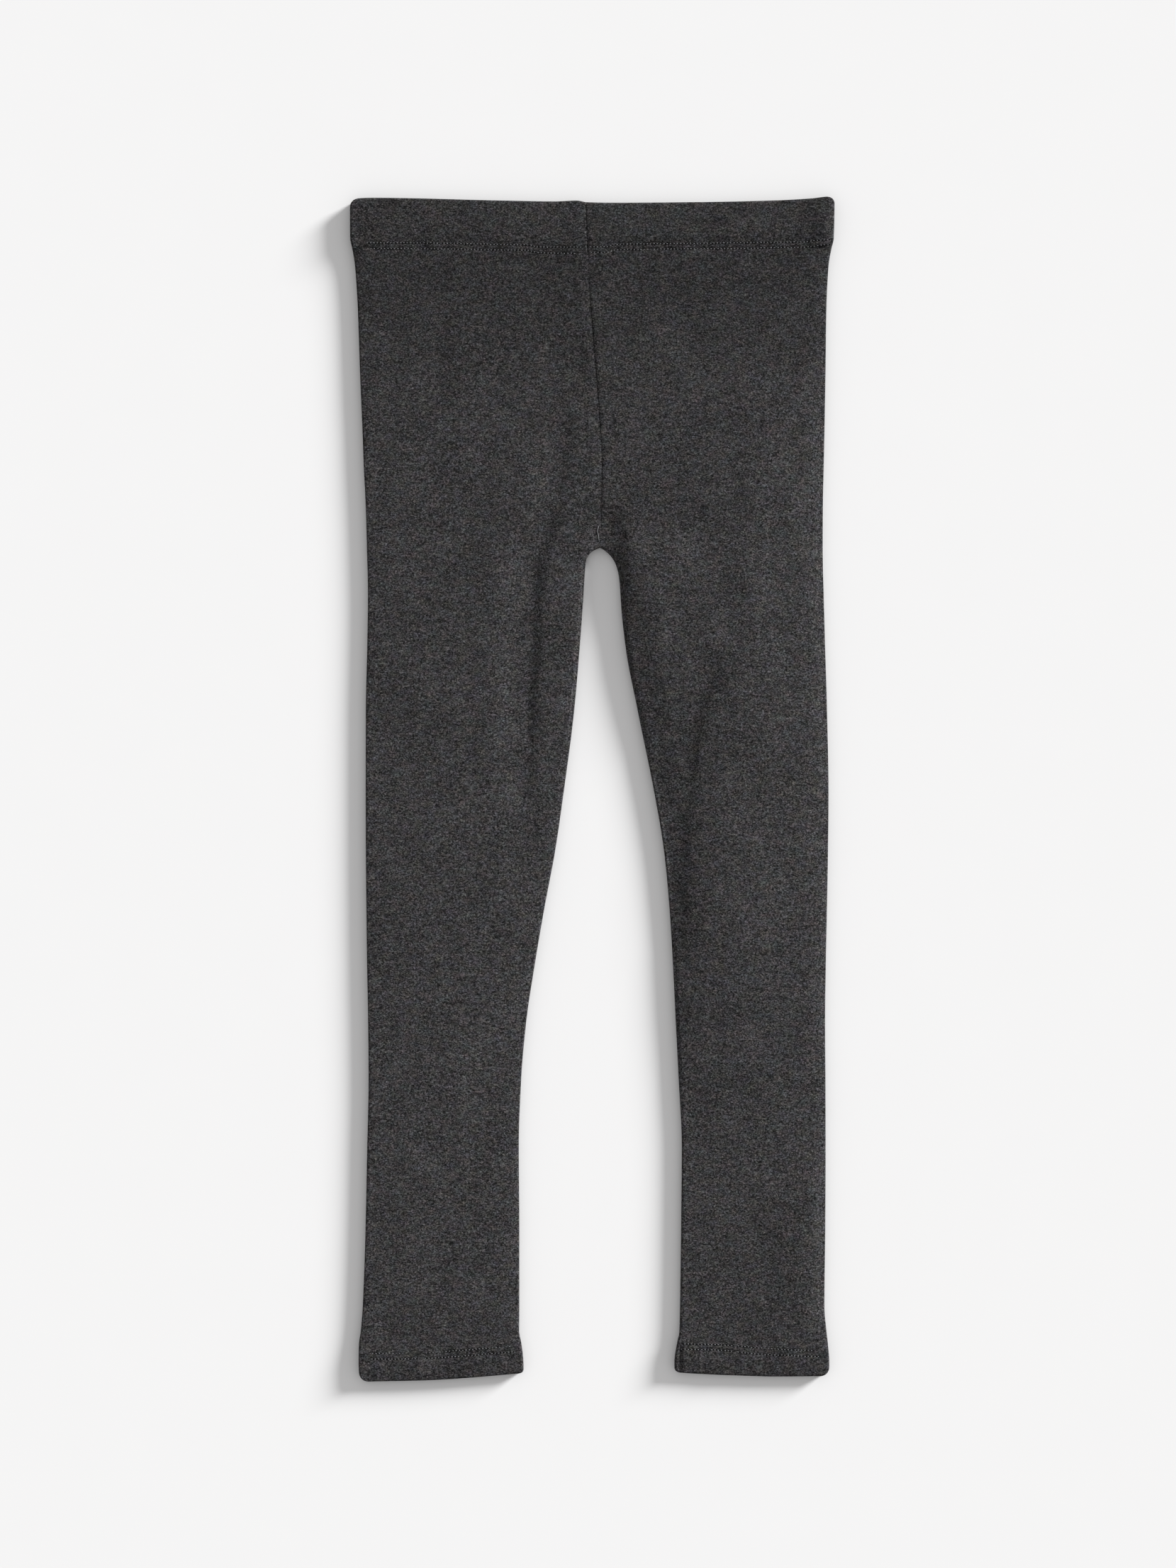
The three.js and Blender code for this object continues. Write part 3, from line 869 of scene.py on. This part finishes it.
def hemTop(side, x, down):
    toFold = curve(side["hemFold"], x) - down
    rows = side["hemRows"]
    soft = hem["soft"] * unevenWave(x, *hem["softWave"]) * smoothStep(toFold, *hem["softFrom"])
    drop = hem["edgeDrop"] * bell(toFold / hem["edgeReach"])
    marks = 0
    if side["side"] > 0:
        wrinkle, swell = hem["wrinkle"], hem["swell"]
        fromWrinkle = x - wrinkle["x"] - (toFold - garment["hemDepth"] / 2) * wrinkle["lean"]
        marks = -wrinkle["depth"] * bell(fromWrinkle / wrinkle["width"])
        marks = marks * smoothStep(toFold, *wrinkle["from"])
        swelling = swell["height"] * bell((x - swell["x"]) / swell["reach"])
        marks = marks + swelling * bell(toFold / swell["reach"])
    sewn = garment["hemHeight"] + soft - drop + marks - grooveDepth(rows, x, down)
    return sewn + puckerHeight(rows, x, down)


def hemPiece(name, side):
    steps = foldSteps(hem["foldRadius"], garment["hemDepth"], hem["rowStep"])
    sections = []
    for toFold in reversed(steps):

        def downAt(x):
            return curve(side["hemFold"], x) - toFold

        outer = curve(side["outer"], downAt(side["outer"][-1][1]))
        inner = curve(side["inner"], downAt(side["inner"][-1][1]))
        inner += side["side"] * cornerInset(toFold, hem["innerCorner"])
        outer -= side["side"] * cornerInset(toFold, hem["outerCorner"])
        line = section(
            inner, outer, garment["hemHeight"], garment["hemHeight"], garment["hemWall"],
            lambda at: hemTop(side, at, downAt(at)),
            lambda at: underGroove(side["hemRows"], at, downAt(at)),
            lambda start, end: np.linspace(start, end, hem["columns"])[1:-1],
            True, hem["sideSteps"], hem["underColumns"],
        )
        sections.append((turnedOver(line, toFold, hem["foldRadius"]), downAt(line[0]), True))
    return shellPiece(name, sections, side["side"] < 0)


# The casing. "profile" is its wall from fold to foot, thick over the elastic and thin at the stitches. The
# seam runs on through it, the elastic gathers it in small waves, and its right end stands a little higher.
casing = {
    "profile": [(0, 2.95), (0.1, 3.15), (0.22, 3.25), (0.5, 3.25), (0.72, 3.15), (0.84, 2.9), (1, 2.6)],
    "depth": 30.0,
    "leftCorner": 5.0,
    "rightCorner": 4.0,
    "foldRadius": 1.45,
    "rowStep": 0.6,
    "seamGroove": 0.4,
    "seamWidth": 0.42,
    "seamShift": 0.1,
    "allowance": 0.05,
    "allowanceShift": 4.5,
    "allowanceReach": 4.2,
    "rightRise": 0.9,
    "rightEnd": (122, 136),
    "leftDrop": 0.5,
    "leftEnd": (124, 140),
    "gather": 0.1,
    "gatherWave": (3.3, 1.7, 13),
    "gatherBeat": 21,
    "seamColumns": (
        -9, -7, -4.5, -2.5, -1.4, -0.9, -0.6, -0.35, -0.1, 0.15, 0.4, 0.7, 1.2, 2, 3.5, 5.5, 7.5,
    ),
    "columns": 84,
    "underColumns": 90,
    "sideSteps": 8,
}


def casingShare(x, down):
    top, foot = curve(waistFold, x), curve(casingFoot, x)
    return (down - top) / (foot - top)


def casingWallAt(x, down):
    return curve(casing["profile"], casingShare(x, down))


def casingTop(x, down):
    height = 2 * casingWallAt(x, down) + garment["layerGap"]
    fromSeam = x - curve(centreSeam, down)
    groove = casing["seamGroove"] * bell((fromSeam + casing["seamShift"]) / casing["seamWidth"])
    fromAllowance = (fromSeam + casing["allowanceShift"]) / casing["allowanceReach"]
    seam = casing["allowance"] * np.exp(-(fromAllowance**4)) - groove
    ends = casing["rightRise"] * smoothStep(x, *casing["rightEnd"])
    ends = ends - casing["leftDrop"] * smoothStep(-x, *casing["leftEnd"])
    share = casingShare(x, down)
    beat = 0.6 + 0.4 * np.sin(x / casing["gatherBeat"])
    gathers = casing["gather"] * unevenWave(x, *casing["gatherWave"]) * beat * smoothStep(share, 0.2, 0.9)
    formed = height + seam + ends * smoothStep(share, 0.05, 0.3) + gathers
    return formed - grooveDepth(waistRows, x, down) + puckerHeight(waistRows, x, down)


def casingPiece(name):
    sections = []
    for depth in foldSteps(casing["foldRadius"], casing["depth"], casing["rowStep"]):
        share = depth / casing["depth"]

        def downAt(x):
            top = curve(waistFold, x)
            return top + share * (curve(casingFoot, x) - top)

        left = curve(leftLeg["outer"], downAt(leftLeg["outer"][0][1]))
        right = curve(rightLeg["outer"], downAt(rightLeg["outer"][0][1]))
        left += cornerInset(depth, casing["leftCorner"])
        right -= cornerInset(depth, casing["rightCorner"])
        wall = curve(casing["profile"], share)
        height = 2 * wall + garment["layerGap"]
        seamX = curve(centreSeam, downAt(0.0))

        def columnsBetween(start, end):
            close = seamX + np.array(casing["seamColumns"])
            before = np.linspace(start, close[0], casing["columns"])[1:-1]
            after = np.linspace(close[-1], end, casing["columns"])[1:-1]
            return np.concatenate([before, close, after])

        line = section(
            left, right, height, height, wall,
            lambda at: casingTop(at, downAt(at)),
            lambda at: underGroove(waistRows, at, downAt(at)),
            columnsBetween, True, casing["sideSteps"], casing["underColumns"],
        )
        sections.append((turnedOver(line, depth, casing["foldRadius"]), downAt(line[0]), True))
    return shellPiece(name, sections, False)


# Places along a row of stitches, one pitch apart: x, down and the direction of the row there
def stitchPlaces(row, gaps):
    samples = np.linspace(row[0][0], row[-1][0], 1200)
    line = curve(row, samples)
    length = np.concatenate([[0], np.cumsum(np.hypot(np.diff(samples), np.diff(line)))])
    count = int(length[-1] / thread["pitch"])
    places = []
    for k in range(count):
        at = (k + 0.5) * thread["pitch"]
        x = float(np.interp(at, length, samples))
        if any(low < x < high for low, high in gaps):
            continue
        ahead = float(curve(row, x + 0.5) - curve(row, x - 0.5))
        places.append((x, float(curve(row, x)), math.atan2(-ahead, 1.0)))
    return places


# One ring of points round a thread, which runs along "turn"
def threadRing(x, y, z, turn, radius):
    points = []
    for s in range(thread["sides"]):
        a = 2 * math.pi * s / thread["sides"]
        off = math.cos(a) * radius
        points.append((x - math.sin(turn) * off, y + math.cos(turn) * off, z + math.sin(a) * radius))
    return points


# Faces between such rings, from the point numbered "base" on, and of the thread's two ends
def tubeFaces(base, rings):
    sides = thread["sides"]
    faces = []
    for ring in range(rings - 1):
        for s in range(sides):
            a, b = base + ring * sides + s, base + ring * sides + (s + 1) % sides
            faces.append((a, b, b + sides, a + sides))
    faces.append([base + s for s in reversed(range(sides))])
    faces.append([base + (rings - 1) * sides + s for s in range(sides)])
    return faces


# Adds the stitches of some rows, each a small bent capsule whose ends dip into the cloth, and after each one
# its needle hole as a low lens in near-black painted shade. "facing" is 1 on top and -1 underneath.
def addStitches(points, faces, isHole, rows, heightAt, facing, gaps, sunk):
    sides = thread["holeSides"]
    for row, rowGaps in zip(rows, gaps):
        for x, down, turn in stitchPlaces(row, rowGaps):
            turn = turn + rng.normal(0, thread["jitter"])
            long = thread["stitch"] * rng.uniform(*thread["stitchSpread"])
            x = x + rng.normal(0, thread["jitter"])
            down = down + rng.normal(0, thread["jitter"])
            thick = thread["radius"] * rng.uniform(*thread["radiusSpread"])
            base = len(points)
            surface = heightAt(x, down)
            for t, size in thread["profile"]:
                lift = facing * (thick * thread["rise"] - thread["bend"] * t * t * thick - sunk)
                alongX = x + math.cos(turn) * t * long / 2
                alongY = garment["length"] / 2 - down + math.sin(turn) * t * long / 2
                points += threadRing(alongX, alongY, surface + lift, turn, thick * size)
            made = tubeFaces(base, len(thread["profile"]))
            faces += made
            isHole += [0] * len(made)
            holeX = x + math.cos(turn) * thread["pitch"] / 2
            holeDown = down - math.sin(turn) * thread["pitch"] / 2
            holeY = garment["length"] / 2 - holeDown
            base = len(points)
            surface = heightAt(holeX, holeDown)
            for s in range(sides):
                a = 2 * math.pi * s / sides
                size = rng.uniform(*thread["holeSpread"])
                holeAcross = math.cos(a) * size * thread["holeLong"]
                holeAlong = math.sin(a) * size * thread["holeWide"]
                points.append((holeX + holeAcross, holeY + holeAlong, surface + facing * thread["holeRim"]))
            points.append((holeX, holeY, surface + facing * thread["holeFibre"]))
            points.append((holeX, holeY, surface - facing * thread["holeDepth"]))
            up, low = base + sides, base + sides + 1
            for s in range(sides):
                a, b = base + s, base + (s + 1) % sides
                faces.append((a, b, up) if facing > 0 else (b, a, up))
                faces.append((b, a, low) if facing > 0 else (a, b, low))
                isHole += [1, 1]


def threadPiece(name, points, faces, isHole):
    mesh = bpy.data.meshes.new(name)
    mesh.from_pydata((np.array(points) * 0.001).tolist(), [], faces)
    mesh.materials.append(threadMaterial)
    if any(isHole):
        mesh.materials.append(holeShadeMaterial)
    mesh.polygons.foreach_set("material_index", isHole)
    mesh.polygons.foreach_set("use_smooth", [True] * len(mesh.polygons))
    return placeInScene(name, mesh)


# How much the rounding of two folded sides takes from the cloth's full height at x, as a negative height
def sideRounding(x, sides, radius):
    press, squareness = foldShape
    total = 0.0
    for side in sides:
        inFrom = min(abs(side - x) / press, radius)
        total += radius * (max(1 - (1 - inFrom / radius) ** squareness, 0.0) ** (1 / squareness) - 1)
    return total


# The stitches of the named rows on top of a piece, whose sides run along "sideLines", and underneath
def stitching(name, rowNames, topAt, sideLines, radiusAt, gaps, sunk):
    def rounding(x, down):
        return sideRounding(x, [float(curve(line, down)) for line in sideLines], radiusAt(x, down))

    def over(x, down):
        return float(topAt(x, down)) + rounding(x, down)

    def under(x, down):
        return float(underGroove(rowNames, x, down)) - rounding(x, down)

    rows = [stitchRows[rowName] for rowName in rowNames]
    points, faces, isHole = [], [], []
    addStitches(points, faces, isHole, rows, over, 1, gaps, sunk)
    addStitches(points, faces, isHole, rows, under, -1, gaps, sunk)
    return threadPiece(name, points, faces, isHole)


def hemStitching(name, side, gaps, sunk):
    return stitching(name, side["hemRows"], lambda x, down: hemTop(side, x, down),
                     (side["outer"], side["inner"]), lambda x, down: garment["hemHeight"] / 2, gaps, sunk)


# The loose end of the centre seam's thread, lying on the seam above the crotch: x, down and its radius
threadEndLift = 0.25
threadEnd = [
    (3.0, 191.3, 0.13), (3.5, 191.9, 0.2), (3.2, 193.0, 0.2), (2.9, 194.3, 0.18), (3.2, 195.8, 0.17),
    (3.6, 197.4, 0.15), (3.7, 199.0, 0.13), (4.0, 200.6, 0.08),
]


def threadEndPiece(name):
    points = []
    for k, (x, down, radius) in enumerate(threadEnd):
        before, after = threadEnd[max(k - 1, 0)], threadEnd[min(k + 1, len(threadEnd) - 1)]
        direction = math.atan2(before[1] - after[1], after[0] - before[0])
        side = leftLeg if x < float(curve(centreSeam, down)) else rightLeg
        height = float(legTop(side, np.array([x]), np.array([down]))[0]) + threadEndLift
        points += threadRing(x, garment["length"] / 2 - down, height, direction, radius)
    faces = tubeFaces(0, len(threadEnd))
    return threadPiece(name, points, faces, [0] * len(faces))


waistbandCloth = casingPiece("waistband_cloth")
legLeftCloth = legPiece("leg_left_cloth", leftLeg)
legRightCloth = legPiece("leg_right_cloth", rightLeg)
hemLeftCloth = hemPiece("hem_left_cloth", leftLeg)
hemRightCloth = hemPiece("hem_right_cloth", rightLeg)
print("cloth made")

# Gaps between x and x, one list for each row, are where the photo shows no stitch
waistStitches = stitching(
    "waistband_stitches", waistRows, casingTop, (leftLeg["outer"], rightLeg["outer"]),
    lambda x, down: float(casingWallAt(x, down)) + garment["layerGap"] / 2,
    [[(-5.5, -1.4)], [(-5.5, -1.4)]], 0.03)
hemLeftStitches = hemStitching("hem_left_stitches", leftLeg, [[(-110.5, -98.0)], [(-101.5, -97.5)]], 0.0)
hemRightStitches = hemStitching("hem_right_stitches", rightLeg, [[(81.4, 84.0)], [(81.4, 83.0)]], 0.03)
seamThreadEnd = threadEndPiece("seam_thread_end")
print("stitches made")

clothOf = {
    "waistband": waistbandCloth,
    "leg_left": legLeftCloth,
    "leg_right": legRightCloth,
    "hem_left": hemLeftCloth,
    "hem_right": hemRightCloth,
}
for node, piece in clothOf.items():
    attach(piece, "root")
    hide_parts(node)
for piece in (waistStitches, hemLeftStitches, hemRightStitches, seamThreadEnd):
    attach(piece, "root")

# Plain pale painted board: matt, even, with the faintest brushed unevenness
floor = {"colour": "#f5f5f5", "size": 40.0, "unevennessMm": 40.0, "unevenness": 0.005, "below": 0.0002}


def paintedBoard():
    material, tree, place = newMaterial("matt painted board")
    cloud = addNode(tree, "ShaderNodeTexNoise", {"Scale": 1000 / floor["unevennessMm"], "Detail": 2.0},
                    {"Vector": place})
    shade = addNode(tree, "ShaderNodeMapRange",
                    {"To Min": 1 - floor["unevenness"], "To Max": 1 + floor["unevenness"]},
                    {"Value": cloud.outputs[0]})
    colour = addNode(tree, "ShaderNodeVectorMath", {"operation": "SCALE", 0: linear(floor["colour"])[:3]},
                     {"Scale": shade.outputs[0]})
    surface = addNode(tree, "ShaderNodeBsdfPrincipled", {"Roughness": 0.9, "Specular IOR Level": 0.0},
                      {"Base Color": colour.outputs[0]})
    addNode(tree, "ShaderNodeOutputMaterial", {}, {"Surface": surface.outputs[0]})
    return material


half = floor["size"] / 2
floorMesh = bpy.data.meshes.new("floor")
corners = [(-half, -half, 0), (half, -half, 0), (half, half, 0), (-half, half, 0)]
floorMesh.from_pydata(corners, [], [(0, 1, 2, 3)])
floorMesh.materials.append(paintedBoard())
floorObject = placeInScene("floor", floorMesh)
floorObject.location.z = -floor["below"]

# Soft light from the upper right, low enough for the folds to show, and an even fill from all round
light = {
    "azimuth": math.degrees(math.atan2(0.54, 0.84)),
    "elevation": 15.2,
    "spread": 16.0,
    "strength": 6.09,
    "fill": 0.51,
    "fillColour": "#fcfbfb",
}
lamp = bpy.data.lights.new("window light", "SUN")
lamp.energy = light["strength"]
lamp.angle = math.radians(light["spread"])
lampObject = placeInScene("window light", lamp)
lampObject.rotation_euler = (0, math.radians(90 - light["elevation"]), math.radians(light["azimuth"]))

world = bpy.data.worlds.new("even fill")
world.use_nodes = True
world.node_tree.nodes.clear()
sky = addNode(world.node_tree, "ShaderNodeBackground",
              {"Color": linear(light["fillColour"]), "Strength": light["fill"]})
addNode(world.node_tree, "ShaderNodeOutputWorld", {}, {"Surface": sky.outputs[0]})
scene.world = world
scene.view_settings.view_transform = "Standard"

# Straight down, 2.16 m above the middle of the picture
view = {"x": -2.55, "y": 3.05, "height": 2157.0, "lens": 85.0, "sensor": 36.0}
cameraData = bpy.data.cameras.new("camera")
cameraData.lens = view["lens"]
cameraData.sensor_width = view["sensor"]
cameraData.clip_end = 50
camera = placeInScene("camera", cameraData)
camera.location = (view["x"] * 0.001, view["y"] * 0.001, view["height"] * 0.001)
scene.camera = camera
print("floor, light and camera made")
